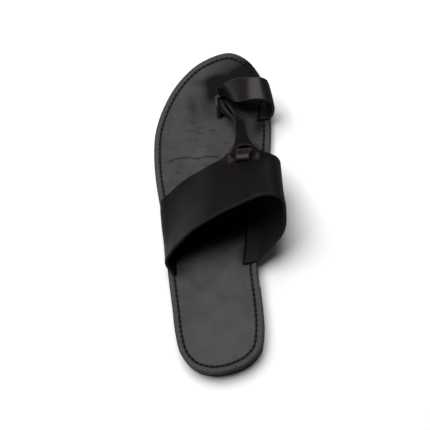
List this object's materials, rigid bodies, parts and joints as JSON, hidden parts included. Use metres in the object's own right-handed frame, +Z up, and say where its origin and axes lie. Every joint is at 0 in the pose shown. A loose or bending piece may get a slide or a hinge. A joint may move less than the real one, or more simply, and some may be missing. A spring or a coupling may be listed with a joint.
{
  "type": "toe ring sandal",
  "caption": "Flat left-foot leather sandal with a wide slanting instep band, a big-toe ring and a doubled strap that links them, on a low heel.",
  "frame": {"origin": "bottom centre of the bounding box, on the floor under the sole", "axes": "+Y along the sole towards the toe, +X towards the inner side of the foot, +Z up"},
  "size_m": [0.1016, 0.2516, 0.0613],
  "materials": {
    "sole_leather": "dark sole leather with a dyed edge",
    "heel_rubber": "matt black",
    "footbed_leather": "smooth dark grey, low sheen, lightly creased",
    "strap_leather": "smooth black, soft sheen",
    "lining_leather": "smooth black, matt flesh side"
  },
  "bodies": {
    "root": {"outsole": "sole_leather", "heel": "heel_rubber", "footbed": "footbed_leather", "instep_band": "strap_leather", "toe_ring": "strap_leather", "toe_strap": "strap_leather", "toe_strap_lining": "lining_leather"}
  },
  "joints": []
}
